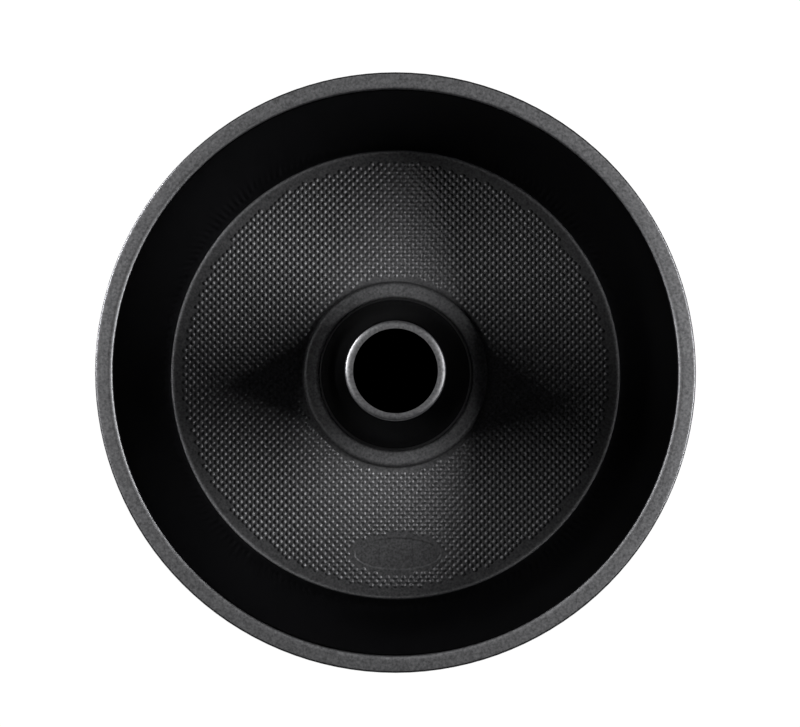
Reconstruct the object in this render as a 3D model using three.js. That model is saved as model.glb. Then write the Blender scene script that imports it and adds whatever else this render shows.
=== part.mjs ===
// A round tube pan of coated sheet steel: a drawn pan body and a drawn centre tube,
// held together by a rolled lock seam in the raised bead round the tube's foot.
// Millimetres, +Z up. The origin is on the pan's axis, on the surface that the pan stands on.
import * as THREE from 'three';

// Facets round the axis, and about how far a bend turns from one point to the next.
const facets = 48;
const bendStep = THREE.MathUtils.degToRad(30);

// Sheet steel, coating included, and the gap left between the two pieces.
const bodySheet = 0.7;
const tubeSheet = 0.7;
const clearance = 0.3;

// Pan body. The floor and rim radii are where the inner wall would meet the floor and the rim's top.
const panHeight = 70;
const floorRadius = 111;
const floorFillet = 2.5;
const rimInnerRadius = 130;
const rimWidth = 8;
const rimBend = 2.6;
const hemHeight = 2.2;
const hemReturn = 3;

// Lock seam round the tube's foot.
const tubeHoleRadius = 37.8;
const seamOverlap = 4.4;
const beadFootBend = 0.6;
const footLift = 0.2;

// Centre tube. The top radius is its outside at the shoulder.
const tubeHeight = 89;
const tubeTopRadius = 23.3;
const tubeMouthRadius = 19.1;
const shoulderBend = 3;

// The seam is four layers of sheet, one over the other, each a clearance above the last.
const tubeFlangeZ = footLift + tubeSheet / 2;
const layerPitch = (bodySheet + tubeSheet) / 2 + clearance;
const bodyHookZ = tubeFlangeZ + layerPitch;
const tubeHookZ = bodyHookZ + layerPitch;

// Each hook is bent round the other piece's edge, and the next layer is bent round the hook.
const hookRadius = layerPitch;
const outerLayerRadius = hookRadius + layerPitch;
const bodyHook = { r: tubeHoleRadius + bodySheet / 2 + hookRadius, z: tubeHookZ };
const tubeHook = { r: bodyHook.r + seamOverlap, z: bodyHookZ };

// The bends that shape a section of sheet are pins that its middle line runs round.
// turn is 1 for a bend to the left of the way the line runs, -1 for one to the right.
const LEFT = 1;
const RIGHT = -1;
const pin = (r, z, radius, turn) => ({ centre: new THREE.Vector2(r, z), radius, turn });
const end = (r, z) => pin(r, z, 0, LEFT);

// The direction of the straight stretch that touches two neighbouring pins.
function tangent(from, to) {
  const across = to.centre.clone().sub(from.centre);
  const sideways = to.turn * to.radius - from.turn * from.radius;
  const along = Math.sqrt(across.lengthSq() - sideways ** 2);
  return across.angle() - Math.atan2(sideways, along);
}

// The closed outline of a sheet bent round a row of pins: along its right face, then back on its left.
function sheetOutline(pins, sheet) {
  const headings = pins.slice(1).map((to, i) => tangent(pins[i], to));
  const left = [];
  const right = [];
  pins.forEach(({ centre, radius, turn }, i) => {
    const headingIn = headings[Math.max(i - 1, 0)];
    const headingOut = headings[Math.min(i, headings.length - 1)];
    const full = 2 * Math.PI;
    const swept = THREE.MathUtils.euclideanModulo(turn * (headingOut - headingIn), full);
    const steps = radius > 0 ? Math.max(Math.round(swept / bendStep), 1) : 0;
    for (let step = 0; step <= steps; step += 1) {
      const heading = headingIn + (steps ? turn * swept * step / steps : 0);
      const toLeft = new THREE.Vector2(-Math.sin(heading), Math.cos(heading));
      left.push(centre.clone().addScaledVector(toLeft, sheet / 2 - turn * radius));
      right.push(centre.clone().addScaledVector(toLeft, -sheet / 2 - turn * radius));
    }
  });
  return [...right, ...left.reverse()];
}

// A named piece of coated steel, spun round the pan's axis from its section.
function spunSheet(name, pins, sheet, color) {
  const outline = sheetOutline(pins, sheet);
  const geometry = new THREE.LatheGeometry([...outline, outline[0]], facets);
  geometry.rotateX(Math.PI / 2);
  const material = new THREE.MeshStandardMaterial({ color, roughness: 0.5, metalness: 0.1 });
  const mesh = new THREE.Mesh(geometry, material);
  mesh.name = name;
  return mesh;
}

// Pan body, from its hook in the seam out to the rim's edge, which is folded under in a hem.
function panBody() {
  const floorTop = bodySheet;
  const half = bodySheet / 2;
  const wallTurn = Math.atan2(panHeight - floorTop, rimInnerRadius - floorRadius);
  const cornerReach = Math.tan(wallTurn / 2);
  const hemRadius = hemHeight / 2 - half;
  const hemR = rimInnerRadius + rimWidth - hemHeight / 2;
  const hemZ = panHeight - hemHeight / 2;
  const beadFootR = tubeHook.r + outerLayerRadius + beadFootBend;
  return spunSheet('pan_body', [
    end(tubeHook.r, bodyHookZ),
    pin(bodyHook.r, bodyHook.z, hookRadius, RIGHT),
    pin(tubeHook.r, tubeHook.z, outerLayerRadius, RIGHT),
    pin(beadFootR, half + beadFootBend, beadFootBend, LEFT),
    pin(floorRadius - floorFillet * cornerReach, floorTop + floorFillet, floorFillet + half, LEFT),
    pin(rimInnerRadius + rimBend * cornerReach, panHeight - rimBend, rimBend - half, RIGHT),
    pin(hemR, hemZ, hemRadius, RIGHT),
    end(hemR - hemReturn, hemZ - hemRadius),
  ], bodySheet, 0x1c1c1e);
}

// Centre tube, from its mouth over the shoulder and down to its hook in the seam.
function centreTube() {
  const half = tubeSheet / 2;
  return spunSheet('centre_tube', [
    end(tubeMouthRadius, tubeHeight - half),
    pin(tubeTopRadius - shoulderBend, tubeHeight - shoulderBend, shoulderBend - half, RIGHT),
    pin(bodyHook.r, bodyHook.z, outerLayerRadius, LEFT),
    pin(tubeHook.r, tubeHook.z, hookRadius, LEFT),
    end(bodyHook.r, tubeHookZ),
  ], tubeSheet, 0x1a1a1c);
}

const tubePan = new THREE.Group();
tubePan.add(panBody(), centreTube());

export default tubePan;
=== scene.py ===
# %% [markdown]
# # A tube pan of coated sheet steel
#
# The pan is two pressings of thin sheet steel: a wide drawn pan with a dotted floor, and a tapered
# tube that stands in the middle of it. Both wear the same satin black non-stick coating.
# The lesson loads the solid model as a frame, sets up the photograph's camera and light, bends the
# two sheets, embosses the floor and mixes the coating.

# %% Load the frame
import math

import bmesh
import bpy
from mathutils import Matrix, Vector


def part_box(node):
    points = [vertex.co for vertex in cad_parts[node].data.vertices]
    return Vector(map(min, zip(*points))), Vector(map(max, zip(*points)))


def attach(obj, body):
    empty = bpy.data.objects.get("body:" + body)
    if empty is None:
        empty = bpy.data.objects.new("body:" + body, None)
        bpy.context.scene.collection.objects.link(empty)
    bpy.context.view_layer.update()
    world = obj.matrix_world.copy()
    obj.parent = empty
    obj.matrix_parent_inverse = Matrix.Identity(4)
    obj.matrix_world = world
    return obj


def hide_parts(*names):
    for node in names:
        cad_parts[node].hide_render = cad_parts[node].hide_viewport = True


MM = 0.001
TAU = 2 * math.pi

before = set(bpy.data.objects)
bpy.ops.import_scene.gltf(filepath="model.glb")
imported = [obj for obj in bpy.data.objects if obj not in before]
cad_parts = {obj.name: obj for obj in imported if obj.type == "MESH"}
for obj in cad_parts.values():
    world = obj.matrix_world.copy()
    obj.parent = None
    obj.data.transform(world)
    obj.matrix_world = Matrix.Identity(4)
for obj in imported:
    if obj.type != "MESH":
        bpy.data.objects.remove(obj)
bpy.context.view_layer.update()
body_low, body_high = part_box("pan_body")
tube_low, tube_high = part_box("centre_tube")
print("pan", [round(s / MM, 2) for s in body_high - body_low], "mm")
print("tube", [round(s / MM, 2) for s in tube_high - tube_low], "mm")

# %% [markdown]
# ## The camera
#
# The photograph looks almost straight down. Each circle of the pan shows at its own height, and the
# circles' centres drift by a few pixels from the floor to the tube's mouth, which gives the lean of
# the line of sight. A camera 0.9 m above the rim sees the floor smaller than the rim by as much as
# the photograph does. The lens follows from how large the rim shows, and a small shift puts the pan
# where it stands in the picture.

# %% Camera
PHOTO_WIDTH, PHOTO_HEIGHT = 800, 727
RIM_CENTRE_PX = Vector((395.5, 371.6))
RIM_RADIUS_PX = 300.8
CAMERA_DISTANCE = 0.9
CAMERA_LEAN = math.radians(1.16)
SENSOR_WIDTH_MM = 36

rim_radius = body_high.x
rim_height = body_high.z
px_per_metre = RIM_RADIUS_PX / rim_radius
camera_data = bpy.data.cameras.new("camera_above")
camera_data.sensor_width = SENSOR_WIDTH_MM
camera_data.lens = SENSOR_WIDTH_MM * px_per_metre * CAMERA_DISTANCE / PHOTO_WIDTH
camera_data.shift_x = (PHOTO_WIDTH / 2 - RIM_CENTRE_PX.x) / PHOTO_WIDTH
camera_data.shift_y = (RIM_CENTRE_PX.y - PHOTO_HEIGHT / 2) / PHOTO_WIDTH
camera = bpy.data.objects.new("camera_above", camera_data)
camera.rotation_euler = (CAMERA_LEAN, 0, 0)
sight = Vector((0, -math.sin(CAMERA_LEAN), math.cos(CAMERA_LEAN)))
camera.location = Vector((0, 0, rim_height)) + CAMERA_DISTANCE * sight
bpy.context.scene.collection.objects.link(camera)
bpy.context.scene.camera = camera
bpy.context.scene.view_settings.view_transform = "Standard"
print(f"lens {camera_data.lens:.1f} mm, shift {camera_data.shift_x:.4f} {camera_data.shift_y:.4f}")

# %% [markdown]
# ## Two helpers for materials
#
# Colours are written as sRGB hex values, as a paint chart gives them, and one function turns them
# into the linear values that a shader works in. Another adds a node to a material: its properties
# are set by keyword, and its sockets are set or linked by name or number. A Mix node has a pair of
# sockets for each kind of data under the same names, so its colour sockets go by number.

# %% Colour and node helpers
MIX_A, MIX_B = 6, 7
MIX_RESULT = 2


def linear(hex_colour):
    """The linear RGBA of an sRGB hex colour such as "1a1a1b"."""
    channels = [int(hex_colour[i:i + 2], 16) / 255 for i in (0, 2, 4)]
    steps = [c / 12.92 if c <= 0.04045 else ((c + 0.055) / 1.055) ** 2.4 for c in channels]
    return (*steps, 1)


def add_node(tree, kind, sockets=None, **properties):
    """A new node in a tree, with its properties set and its sockets set or linked."""
    node = tree.nodes.new(kind)
    for name, value in properties.items():
        setattr(node, name, value)
    for name, value in (sockets or {}).items():
        if isinstance(value, bpy.types.NodeSocket):
            tree.links.new(value, node.inputs[name])
        else:
            node.inputs[name].default_value = value
    return node


def new_material(name):
    """An empty node material and its tree."""
    material = bpy.data.materials.new(name)
    material.use_nodes = True
    material.node_tree.nodes.clear()
    return material, material.node_tree


print("a grey of 808080 is", round(linear("808080")[0], 3), "in linear light")

# %% [markdown]
# ## The table
#
# The pan stands on white paper. The paper could be lit until it shows white, but so much light would make
# the black pan grey. Here it glows by itself, to the camera and in reflections, so the lamps can be set
# for the pan alone. Under the pan's foot it is painted black, a painted shade that fades out past the foot
# like a contact shadow and keeps the tube's mouth dark. Its matt part still takes the pan's shadow.

# %% Table
TABLE_SIZE = 12.0
TABLE_GLOW = 0.95
TABLE_COLOUR = "545454"
PAINTED_SHADE_RADIUS = 104 * MM
PAINTED_SHADE_FADE = 12 * MM


def table_paper():
    """White matt paper, which glows to the camera outside the pan's foot and keeps the shadow; under the
    foot its colour is black, a painted shade.
    """
    material, tree = new_material("white_matt_paper")
    place = add_node(tree, "ShaderNodeTexCoord")
    radius = add_node(tree, "ShaderNodeVectorMath", {0: place.outputs["Object"]}, operation="LENGTH")
    outside = add_node(tree, "ShaderNodeMapRange", {
        "Value": radius.outputs["Value"], "From Min": PAINTED_SHADE_RADIUS, "From Max": PAINTED_SHADE_RADIUS + PAINTED_SHADE_FADE})
    # Painted shade: the paper's colour is black under the pan's foot and fades to grey over the edge, like
    # a contact shadow.
    colour = add_node(tree, "ShaderNodeMix", {
        "Factor": outside.outputs["Result"], MIX_A: linear("000000"), MIX_B: linear(TABLE_COLOUR)},
        data_type="RGBA")
    matt = add_node(tree, "ShaderNodeBsdfDiffuse", {"Color": colour.outputs[MIX_RESULT]})
    path = add_node(tree, "ShaderNodeLightPath")
    seen = add_node(tree, "ShaderNodeMath", {
        0: path.outputs["Is Camera Ray"], 1: path.outputs["Is Glossy Ray"]}, operation="MAXIMUM")
    shown = add_node(tree, "ShaderNodeMath", {
        0: seen.outputs[0], 1: path.outputs["Is Transmission Ray"]}, operation="MAXIMUM")
    where = add_node(tree, "ShaderNodeMath", {
        0: shown.outputs[0], 1: outside.outputs["Result"]}, operation="MULTIPLY")
    strength = add_node(tree, "ShaderNodeMath", {0: where.outputs[0], 1: TABLE_GLOW}, operation="MULTIPLY")
    glow = add_node(tree, "ShaderNodeEmission", {"Strength": strength.outputs[0]})
    both = add_node(tree, "ShaderNodeAddShader", {0: matt.outputs[0], 1: glow.outputs[0]})
    add_node(tree, "ShaderNodeOutputMaterial", {"Surface": both.outputs[0]})
    return material


table_mesh = bpy.data.meshes.new("table")
table_bm = bmesh.new()
bmesh.ops.create_grid(table_bm, x_segments=1, y_segments=1, size=TABLE_SIZE / 2)
table_bm.to_mesh(table_mesh)
table_bm.free()
table = bpy.data.objects.new("table", table_mesh)
table_mesh.materials.append(table_paper())
bpy.context.scene.collection.objects.link(table)
print("table", TABLE_SIZE, "m wide")

# %% [markdown]
# ## The light
#
# The shadows in the photograph tell where the lamps were. The tube shades the left and right of the
# floor, so one box stood at the right and a weaker one at the left. The shadows' edges are soft, so both
# were wide. The walls shade the floor's edges and the seam's sides, so both stood low, about 30 degrees
# up. A long strip at the left, lower still, only grazes the rim and the tube's shoulder and draws their
# bright lines. Straight above it was dark, which is why the tube's mouth is black. A picture of a studio
# could light the pan too, but lamps with a place and a size are easier to read and to change.

# %% Soft boxes


def soft_box(name, azimuth, elevation, distance, width, height, watts):
    """An area lamp that faces the pan; azimuth is counted from +X towards +Y, in degrees."""
    data = bpy.data.lights.new(name, "AREA")
    data.energy = watts
    data.shape = "RECTANGLE"
    data.size = width
    data.size_y = height
    lamp = bpy.data.objects.new(name, data)
    turn, rise = math.radians(azimuth), math.radians(elevation)
    out = Vector((math.cos(turn) * math.cos(rise), math.sin(turn) * math.cos(rise), math.sin(rise)))
    lamp.location = distance * out
    lamp.rotation_euler = out.to_track_quat("Z", "Y").to_euler()
    bpy.context.scene.collection.objects.link(lamp)


soft_box("wide_box_right", azimuth=4, elevation=32, distance=0.8, width=0.66, height=0.08, watts=8.4)
soft_box("wide_box_left", azimuth=169, elevation=34, distance=0.8, width=0.62, height=0.1, watts=3.1)
soft_box("low_strip_left", azimuth=158, elevation=9, distance=2.2, width=1.6, height=0.16, watts=90)

# %% [markdown]
# ## The room
#
# The room was dark except for pale paper low down all round. A plain grey world would be simpler, but it
# would lift every black of the pan. This world is that paper: white at the horizon and fading to almost
# black a hand's breadth above it, so that it puts next to no light on the pan. To the camera itself it is
# white everywhere, and a low view has the same ground as the photograph.

# %% Dim room
PAPER_BELOW = math.sin(math.radians(2))
DARK_ABOVE = math.sin(math.radians(9))
ROOM_DARK = 0.004

world = bpy.data.worlds.new("dim_room")
world.use_nodes = True
sky = world.node_tree
sight_line = add_node(sky, "ShaderNodeTexCoord")
upwards = add_node(sky, "ShaderNodeSeparateXYZ", {0: sight_line.outputs["Generated"]})
paper = add_node(sky, "ShaderNodeMapRange", {
    "Value": upwards.outputs["Z"], "From Min": PAPER_BELOW, "From Max": DARK_ABOVE,
    "To Min": 1.0, "To Max": ROOM_DARK})
path = add_node(sky, "ShaderNodeLightPath")
brightness = add_node(sky, "ShaderNodeMath", {
    0: paper.outputs["Result"], 1: path.outputs["Is Camera Ray"]}, operation="MAXIMUM")
room = sky.nodes["Background"]
room.inputs["Color"].default_value = linear("ffffff")
sky.links.new(brightness.outputs[0], room.inputs["Strength"])
bpy.context.scene.world = world
print("room dark above", round(math.degrees(math.asin(DARK_ABOVE))), "degrees")

# %% [markdown]
# ## Bending sheet metal
#
# A press bends sheet round tools, so a section of the sheet is straight stretches that touch round
# pins. It could be drawn as a long list of points. Here each pin is a centre, a radius and the way
# the sheet turns, one function finds the straight stretch between two pins, and the spin operator
# carries a vertex round each pin, so every bend is a true arc and every stretch meets it smoothly.

# %% Pins and stretches
LEFT, RIGHT = 1, -1
BEND_STEP = math.radians(15)


class Pin:
    """A round tool that the middle of the sheet is bent to, or a plain point where its radius is 0."""

    def __init__(self, r, z, radius=0.0, turn=LEFT):
        self.centre = Vector((r, 0, z))
        self.radius = radius
        self.turn = turn


def heading_between(a, b):
    """The direction, in the XZ plane, of the straight stretch that touches two pins."""
    across = b.centre - a.centre
    sideways = b.turn * b.radius - a.turn * a.radius
    along = math.sqrt(across.length_squared - sideways ** 2)
    return math.atan2(across.z, across.x) - math.atan2(sideways, along)


def draw_face(bm, pins, offset):
    """One face of the bent sheet, offset to the left of its middle; returns its vertices in order."""
    inner = [heading_between(a, b) for a, b in zip(pins, pins[1:])]
    headings = [inner[0], *inner, inner[-1]]
    chain = []
    for pin, heading_in, heading_out in zip(pins, headings, headings[1:]):
        leftwards = Vector((-math.sin(heading_in), 0, math.cos(heading_in)))
        start = pin.centre + (offset - pin.turn * pin.radius) * leftwards
        if chain:
            vert = bmesh.ops.extrude_vert_indiv(bm, verts=[chain[-1]])["verts"][0]
            vert.co = start
        else:
            vert = bmesh.ops.create_vert(bm, co=start)["vert"][0]
        chain.append(vert)
        swept = pin.turn * (heading_out - heading_in) % TAU
        steps = max(round(swept / BEND_STEP), 1) if pin.radius else 0
        for _ in range(steps):
            spun = bmesh.ops.spin(bm, geom=[chain[-1]], cent=pin.centre, axis=(0, -1, 0),
                                  angle=pin.turn * swept / steps, steps=1)
            chain.append(next(v for v in spun["geom_last"] if isinstance(v, bmesh.types.BMVert)))
    return chain


print("a bend of 90 degrees has", round(math.radians(90) / BEND_STEP), "steps")

# %% [markdown]
# ## Spinning the sheet
#
# Both faces of the sheet are drawn and joined at their ends, and a spin round the pan's axis turns the
# closed section into a closed shell. A screw modifier and a solidify modifier would give much the same,
# but here the shell is one mesh at once, in which a ring can be left open for a surface of its own.

# %% Spinning a sheet
SPIN_STEPS = 128
EDGE_MATCH = 1 * MM
MERGE_DISTANCE = 0.0005 * MM


def spin_sheet(bm, pins, sheet, gap=None):
    """Spins a bent sheet round Z. gap names two plain pins between which both faces are left open."""
    upper = draw_face(bm, pins, sheet / 2)
    lower = draw_face(bm, pins, -sheet / 2)
    bm.edges.new((upper[0], lower[0]))
    bm.edges.new((upper[-1], lower[-1]))
    if gap:
        from_r, to_r = (pin.centre.x for pin in gap)
        middle = (from_r + to_r) / 2
        open_edges = [e for e in bm.edges
                      if abs((e.verts[0].co.x + e.verts[1].co.x) / 2 - middle) < EDGE_MATCH
                      and abs(e.calc_length() - (to_r - from_r)) < EDGE_MATCH]
        bmesh.ops.delete(bm, geom=open_edges, context="EDGES")
    bmesh.ops.spin(bm, geom=bm.verts[:] + bm.edges[:], cent=(0, 0, 0), axis=(0, 0, 1),
                   angle=TAU, steps=SPIN_STEPS, use_merge=True)
    bmesh.ops.remove_doubles(bm, verts=bm.verts[:], dist=MERGE_DISTANCE)


print("a full spin has", SPIN_STEPS, "steps")

# %% [markdown]
# ## Finishing a piece
#
# Shading runs smoothly over the bends. Edges that turn by more than 30 degrees stay crisp, such as the
# cut edge of the sheet and the foot of each dot. Extra edge loops could do that too, but they would cost
# many faces. The piece then takes the place of its solid.

# %% Finishing a piece
SHARP_ANGLE = math.radians(30)


def finish_piece(name, bm, material, node):
    """Turns a bmesh into a smooth-shaded piece that stands for a CAD node and rides with it."""
    bmesh.ops.recalc_face_normals(bm, faces=bm.faces[:])
    mesh = bpy.data.meshes.new(name)
    bm.to_mesh(mesh)
    bm.free()
    mesh.shade_smooth()
    mesh.set_sharp_from_angle(angle=SHARP_ANGLE)
    mesh.materials.append(material)
    piece = bpy.data.objects.new(name, mesh)
    bpy.context.scene.collection.objects.link(piece)
    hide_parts(node)
    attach(piece, "root")
    triangles = sum(len(p.vertices) - 2 for p in mesh.polygons)
    print(name, triangles, "triangles")


print("edges stay crisp past", round(math.degrees(SHARP_ANGLE)), "degrees")

# %% [markdown]
# ## The coating
#
# A non-stick coating is a black fluoropolymer lacquer full of fine flakes, sprayed on and baked. The
# flakes lie flat in it, so it shines like a dark, dull metal and has little of a plastic's gloss at the
# edges: a metallic shader in dark grey, with a grey edge tint, gives that. On the flats the flakes lie
# at the surface, so they are speckled and their shine is broad. On the walls and bends the lacquer runs
# as it bakes, so its shine is narrow and the bends carry thin bright lines. There the colour is also a
# darker grey than the flakes. This is painted shade, which keeps the walls black. The two looks are mixed
# by one mask, which is 1 on the flats and is found from the height and the distance from the axis. The
# mask also paints shade on the outer part of the floor's fillet and on the hem's outer edge.

# %% Non-stick coating
FLOOR_RADIUS = 111 * MM
FLAKES_DARK = "3c3c3d"
FLAKES_PALE = "949496"
# Painted shade: the walls and bends get this colour, darker than the flakes, so that they render black.
PAINTED_SHADE_BLACK = "48484a"
LACQUER_EDGE = "9e9e9e"
SPECKLE = 1.1 * MM
GRAIN = 0.45 * MM
GRAIN_HEIGHT = 0.02 * MM
FLAT_ROUGHNESS = 0.61
WALL_ROUGHNESS = 0.21
FLOOR_FADE = (10 * MM, 4 * MM)
WALL_FADE = 1.0 * MM
TOP_FADE = (1.0 * MM, 0.2 * MM)
EDGE_FADE = (0.6 * MM, 0.95 * MM)


def zone(tree, height, radius, heights, radii):
    """A mask that turns from 0 to 1 where height and radius pass from the first value to the second."""
    level = add_node(tree, "ShaderNodeMapRange", {
        "Value": height, "From Min": heights[0], "From Max": heights[1]})
    inside = add_node(tree, "ShaderNodeMapRange", {
        "Value": radius, "From Min": radii[0], "From Max": radii[1]})
    both = add_node(tree, "ShaderNodeMath", {
        0: level.outputs["Result"], 1: inside.outputs["Result"]}, operation="MULTIPLY")
    return both.outputs[0]


def sprayed_coating(name, floor_radius, top, top_radius):
    """Sprayed fluoropolymer with flakes and painted shade on walls and bends, for a piece with a flat foot
    and a flat top of these radii.
    """
    material, tree = new_material(name)
    place = add_node(tree, "ShaderNodeTexCoord")
    height = add_node(tree, "ShaderNodeSeparateXYZ", {0: place.outputs["Object"]}).outputs["Z"]
    flattened = add_node(tree, "ShaderNodeVectorMath", {
        0: place.outputs["Object"], 1: (1, 1, 0)}, operation="MULTIPLY")
    radius = add_node(tree, "ShaderNodeVectorMath", {
        0: flattened.outputs[0]}, operation="LENGTH").outputs["Value"]
    on_floor = zone(tree, height, radius, FLOOR_FADE, (floor_radius, floor_radius - WALL_FADE))
    on_top = zone(tree, height, radius, [top - depth for depth in TOP_FADE],
                  [top_radius - inset for inset in EDGE_FADE])
    flat = add_node(tree, "ShaderNodeMath", {0: on_floor, 1: on_top}, operation="MAXIMUM")
    speckle = add_node(tree, "ShaderNodeTexNoise", {
        "Vector": place.outputs["Object"], "Scale": 1 / SPECKLE, "Detail": 1.0})
    flakes = add_node(tree, "ShaderNodeMix", {
        "Factor": speckle.outputs[0], MIX_A: linear(FLAKES_DARK), MIX_B: linear(FLAKES_PALE)},
        data_type="RGBA")
    # Painted shade: where the mask is 0, on the walls, the bends, the fillet's outer part and the hem's
    # outer edge, the colour turns from the flakes to a darker black.
    colour = add_node(tree, "ShaderNodeMix", {
        "Factor": flat.outputs[0], MIX_A: linear(PAINTED_SHADE_BLACK), MIX_B: flakes.outputs[MIX_RESULT]},
        data_type="RGBA")
    roughness = add_node(tree, "ShaderNodeMapRange", {
        "Value": flat.outputs[0], "To Min": WALL_ROUGHNESS, "To Max": FLAT_ROUGHNESS})
    grain = add_node(tree, "ShaderNodeTexNoise", {
        "Vector": place.outputs["Object"], "Scale": 1 / GRAIN, "Detail": 1.0})
    bump = add_node(tree, "ShaderNodeBump", {
        "Strength": 1.0, "Distance": GRAIN_HEIGHT, "Height": grain.outputs[0]})
    lacquer = add_node(tree, "ShaderNodeBsdfPrincipled", {
        "Base Color": colour.outputs[MIX_RESULT], "Metallic": 1.0, "Roughness": roughness.outputs[0],
        "Specular Tint": linear(LACQUER_EDGE), "Normal": bump.outputs["Normal"]})
    add_node(tree, "ShaderNodeOutputMaterial", {"Surface": lacquer.outputs[0]})
    return material


pan_coating = sprayed_coating("sprayed_nonstick_pan", FLOOR_RADIUS, rim_height, rim_radius)
tube_coating = sprayed_coating("sprayed_nonstick_tube", tube_high.x, tube_high.z, tube_high.x)
print("coating grain", GRAIN / MM, "mm, speckle", SPECKLE / MM, "mm")

# %% [markdown]
# ## The seam's layers
#
# The tube's foot and the edge of the floor's hole are each rolled into a hook, one inside the other.
# Four layers of sheet lie over each other there, under a raised bead. A plain raised ring would look
# much the same from above, but with both hooks the crease beside the tube is a real gap between two
# sheets. The sizes are those of the solid model: the foot's height and radius come from the frame, and
# each layer is bent round the one inside it.

# %% Seam
SHEET = 0.7 * MM
SEAM_GAP = 0.3 * MM
FOOT_LIFT = tube_low.z
LAYER = SHEET + SEAM_GAP
TUBE_FLANGE_Z = FOOT_LIFT + SHEET / 2
BODY_HOOK_Z = TUBE_FLANGE_Z + LAYER
TUBE_HOOK_Z = BODY_HOOK_Z + LAYER
HOOK_RADIUS = LAYER
WRAP_RADIUS = 2 * LAYER
SEAM_OVERLAP = 4.4 * MM
TUBE_HOOK_R = tube_high.x - SHEET / 2 - HOOK_RADIUS
BODY_HOOK_R = TUBE_HOOK_R - SEAM_OVERLAP
print(f"hooks at radii {BODY_HOOK_R / MM:.2f} and {TUBE_HOOK_R / MM:.2f} mm")

# %% [markdown]
# ## The pan
#
# From the seam outwards the sheet is a bead, the flat floor, a fillet, the flared wall, a rim and a
# hem folded under the rim's edge. Plain pins beside the bends keep the flats flat in the shading. The
# rim is not quite flat: a large pin gives it a crown of a fraction of a millimetre, which makes its
# shine fade from the inner bend outwards as in the photograph. The hem's small pin lies inside that
# large one, and a hair of slack between them leaves room for the stretch that touches both.

# %% Pan section
HALF = SHEET / 2
FLOOR_TOP = SHEET
BEAD_FOOT_BEND = 0.6 * MM
FLOOR_FILLET = 2.5 * MM
RIM_INNER_RADIUS = 130 * MM
RIM_BEND = 2.6 * MM
RIM_CROWN = 90 * MM
HEM_HEIGHT = 2.2 * MM
HEM_RETURN = 3 * MM
FLAT_EDGE = 0.5 * MM
BEAD_EDGE = 0.1 * MM
HEM_SLACK = 0.002 * MM

wall_turn = math.atan2(rim_height - FLOOR_TOP, RIM_INNER_RADIUS - FLOOR_RADIUS)
corner_reach = math.tan(wall_turn / 2)
bead_foot_r = TUBE_HOOK_R + WRAP_RADIUS + BEAD_FOOT_BEND
fillet_r = FLOOR_RADIUS - FLOOR_FILLET * corner_reach
rim_bend_r = RIM_INNER_RADIUS + RIM_BEND * corner_reach
crown_r = rim_bend_r + FLAT_EDGE
crown_z = rim_height - RIM_CROWN
hem_r = rim_radius - HEM_HEIGHT / 2
hem_z = crown_z + math.sqrt((RIM_CROWN - HEM_HEIGHT / 2) ** 2 - (hem_r - crown_r) ** 2) + HEM_SLACK
hem_radius = HEM_HEIGHT / 2 - HALF
floor_from = Pin(bead_foot_r + BEAD_EDGE, HALF)
floor_to = Pin(fillet_r - FLAT_EDGE, HALF)
pan_pins = [
    Pin(TUBE_HOOK_R, BODY_HOOK_Z),
    Pin(BODY_HOOK_R, TUBE_HOOK_Z, HOOK_RADIUS, RIGHT),
    Pin(BODY_HOOK_R + FLAT_EDGE, TUBE_HOOK_Z + LAYER),
    Pin(TUBE_HOOK_R - FLAT_EDGE, TUBE_HOOK_Z + LAYER),
    Pin(TUBE_HOOK_R, BODY_HOOK_Z, WRAP_RADIUS, RIGHT),
    Pin(bead_foot_r, HALF + BEAD_FOOT_BEND, BEAD_FOOT_BEND, LEFT),
    floor_from,
    floor_to,
    Pin(fillet_r, FLOOR_TOP + FLOOR_FILLET, FLOOR_FILLET + HALF, LEFT),
    Pin(rim_bend_r, rim_height - RIM_BEND, RIM_BEND - HALF, RIGHT),
    Pin(crown_r, crown_z, RIM_CROWN - HALF, RIGHT),
    Pin(hem_r, hem_z, hem_radius, RIGHT),
    Pin(hem_r - HEM_RETURN, hem_z - hem_radius),
]
pan_bm = bmesh.new()
spin_sheet(pan_bm, pan_pins, SHEET, gap=(floor_from, floor_to))
wall_flare = 90 - math.degrees(wall_turn)
print("pan shell", len(pan_bm.faces), "faces, wall flares", round(wall_flare, 1), "degrees")

# %% [markdown]
# ## The embossed floor
#
# The blank was rolled with close rows of round dots before it was drawn, which keep the cake off the
# sheet. The rows are staggered, so the dots lie on a square grid turned by 45 degrees. Thousands of
# copied domes would have to be cut into the floor. Here a grid operator lays one cell per dot instead,
# and the cells outside the field are deleted. The same grid is laid on the underside.

# %% Dot grid
DOT_PITCH = 3.93 * MM
DOT_CLEARANCE = 0.05 * MM
DOTS_TO = 104.9 * MM
OVAL_CENTRE = Vector((1.1, -88.5)) * MM
OVAL_HALF = Vector((21.7, 8.3)) * MM

cell = DOT_PITCH / math.sqrt(2)
dots_from = floor_from.centre.x + DOT_PITCH / 2 + DOT_CLEARANCE
dots_past_oval = OVAL_HALF + Vector((1, 1)) * (DOT_PITCH / 2 + DOT_CLEARANCE)
cells_across = 2 * math.ceil(DOTS_TO / cell)


def in_field(centre):
    """Whether a dot centred here lies whole in the embossed field."""
    x, y = centre.xy - OVAL_CENTRE
    in_oval = (x / dots_past_oval.x) ** 2 + (y / dots_past_oval.y) ** 2 < 1
    return dots_from < centre.xy.length < DOTS_TO and not in_oval


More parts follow.
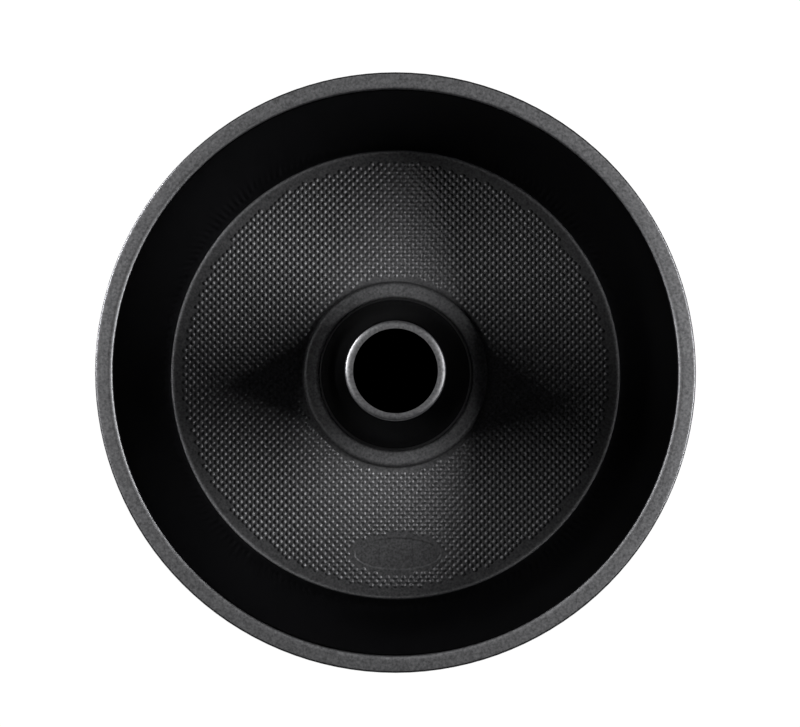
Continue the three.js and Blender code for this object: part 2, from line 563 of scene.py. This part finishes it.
def lay_cells(bm, z):
    """A turned grid at height z, cut down to the cells of the embossed field."""
    turned = Matrix.Translation((0, 0, z)) @ Matrix.Rotation(math.radians(45), 4, "Z")
    made = bmesh.ops.create_grid(bm, x_segments=cells_across, y_segments=cells_across,
                                 size=cells_across * cell / 2, matrix=turned)
    faces = {f for v in made["verts"] for f in v.link_faces}
    cells = [f for f in faces if in_field(f.calc_center_median())]
    bmesh.ops.delete(bm, geom=list(faces.difference(cells)), context="FACES")
    return cells


floor_cells = lay_cells(pan_bm, FLOOR_TOP)
underside_cells = lay_cells(pan_bm, 0)
print(len(floor_cells), "dots, rows", round(DOT_PITCH / 2 / MM, 2), "mm apart")

# %% [markdown]
# ## The plain oval and the flat rings
#
# Near the front edge an oval of the floor is left plain and pressed in a little. A circle, scaled to
# an oval, is inset three times: a flat border, the sloping step, and a flat border again, so that the
# shading of the step stays on the step. Then the flat rings round the dots, the oval and the pan's own
# edges are filled in one go, because the fill operator finds the holes by itself.

# %% Oval and fill
OVAL_SINK = 0.3 * MM
OVAL_STEP = 0.6 * MM
OVAL_BORDER = 0.25 * MM
OVAL_SEGMENTS = 72
LEVEL_MATCH = 0.01 * MM

oval_place = Matrix.Translation((OVAL_CENTRE.x, OVAL_CENTRE.y, FLOOR_TOP))
oval_shape = oval_place @ Matrix.Diagonal((OVAL_HALF.x, OVAL_HALF.y, 1, 1))
oval_made = bmesh.ops.create_circle(pan_bm, cap_ends=True, segments=OVAL_SEGMENTS, radius=1,
                                    matrix=oval_shape)
oval = oval_made["verts"][0].link_faces[0]
for z in (FLOOR_TOP, 0):
    edges = [e for e in pan_bm.edges if e.is_boundary and abs(e.verts[0].co.z - z) < LEVEL_MATCH]
    bmesh.ops.triangle_fill(pan_bm, edges=edges, use_beauty=True, normal=(0, 0, 1))
for border, sink in ((OVAL_BORDER, 0), (OVAL_STEP, OVAL_SINK), (OVAL_BORDER, 0)):
    bmesh.ops.inset_region(pan_bm, faces=[oval], thickness=border, depth=-sink, use_even_offset=True)
print("open edges left", sum(e.is_boundary for e in pan_bm.edges))

# %% [markdown]
# ## Dots and dents
#
# A displacement map would need a far finer floor to round the dots. Here each cell is inset to a square,
# the square's edges are halved and pushed out to a round, the round is raised with sloping sides, and a
# poke lifts its middle, so a dot has only twenty faces. The cells underneath get the dents that the
# rollers leave there.

# %% Dots and dents
DOT_RADIUS = 1.3 * MM
DOT_SQUARE_HALF = 0.8 * DOT_RADIUS
DOT_SHOULDER = 0.6 * MM
DOT_SHOULDER_HEIGHT = 0.47 * MM
DOT_HEIGHT = 0.67 * MM
DENT_BORDER = 0.55 * MM
DENT_DEPTH = 0.3 * MM

bmesh.ops.inset_individual(pan_bm, faces=floor_cells, thickness=cell / 2 - DOT_SQUARE_HALF,
                           use_even_offset=True)
bmesh.ops.bisect_edges(pan_bm, edges=[e for f in floor_cells for e in f.edges], cuts=1)
for face in floor_cells:
    middle = face.calc_center_median()
    for vert in face.verts:
        vert.co = middle + DOT_RADIUS * (vert.co - middle).normalized()
octagon_flat = math.cos(TAU / 16)
bmesh.ops.inset_individual(pan_bm, faces=floor_cells, thickness=octagon_flat * (DOT_RADIUS - DOT_SHOULDER),
                           depth=DOT_SHOULDER_HEIGHT, use_even_offset=True)
bmesh.ops.poke(pan_bm, faces=floor_cells, offset=DOT_HEIGHT - DOT_SHOULDER_HEIGHT)
bmesh.ops.inset_individual(pan_bm, faces=underside_cells, thickness=DENT_BORDER, depth=DENT_DEPTH / 2,
                           use_even_offset=True)
bmesh.ops.poke(pan_bm, faces=underside_cells, offset=DENT_DEPTH / 2)
finish_piece("drawn_pan", pan_bm, pan_coating, "pan_body")

# %% [markdown]
# ## The centre tube
#
# The tube is drawn from one blank: a punched mouth in a flat top, a rounded shoulder, a long taper
# and the foot that is hooked into the floor's seam. A bevelled cone would do for the part that shows,
# but bending it like the pan gives its mouth a sheet's edge and its foot a hook.

# %% Tube
TUBE_MOUTH_RADIUS = 19.1 * MM
TUBE_TOP_RADIUS = 23.3 * MM
SHOULDER_BEND = 3 * MM

shoulder_r = TUBE_TOP_RADIUS - SHOULDER_BEND
tube_top = tube_high.z
tube_pins = [
    Pin(TUBE_MOUTH_RADIUS, tube_top - HALF),
    Pin(shoulder_r - FLAT_EDGE, tube_top - HALF),
    Pin(shoulder_r, tube_top - SHOULDER_BEND, SHOULDER_BEND - HALF, RIGHT),
    Pin(BODY_HOOK_R, TUBE_HOOK_Z, WRAP_RADIUS, LEFT),
    Pin(TUBE_HOOK_R, BODY_HOOK_Z, HOOK_RADIUS, LEFT),
    Pin(BODY_HOOK_R, TUBE_HOOK_Z),
]
tube_bm = bmesh.new()
spin_sheet(tube_bm, tube_pins, SHEET)
finish_piece("drawn_tube", tube_bm, tube_coating, "centre_tube")
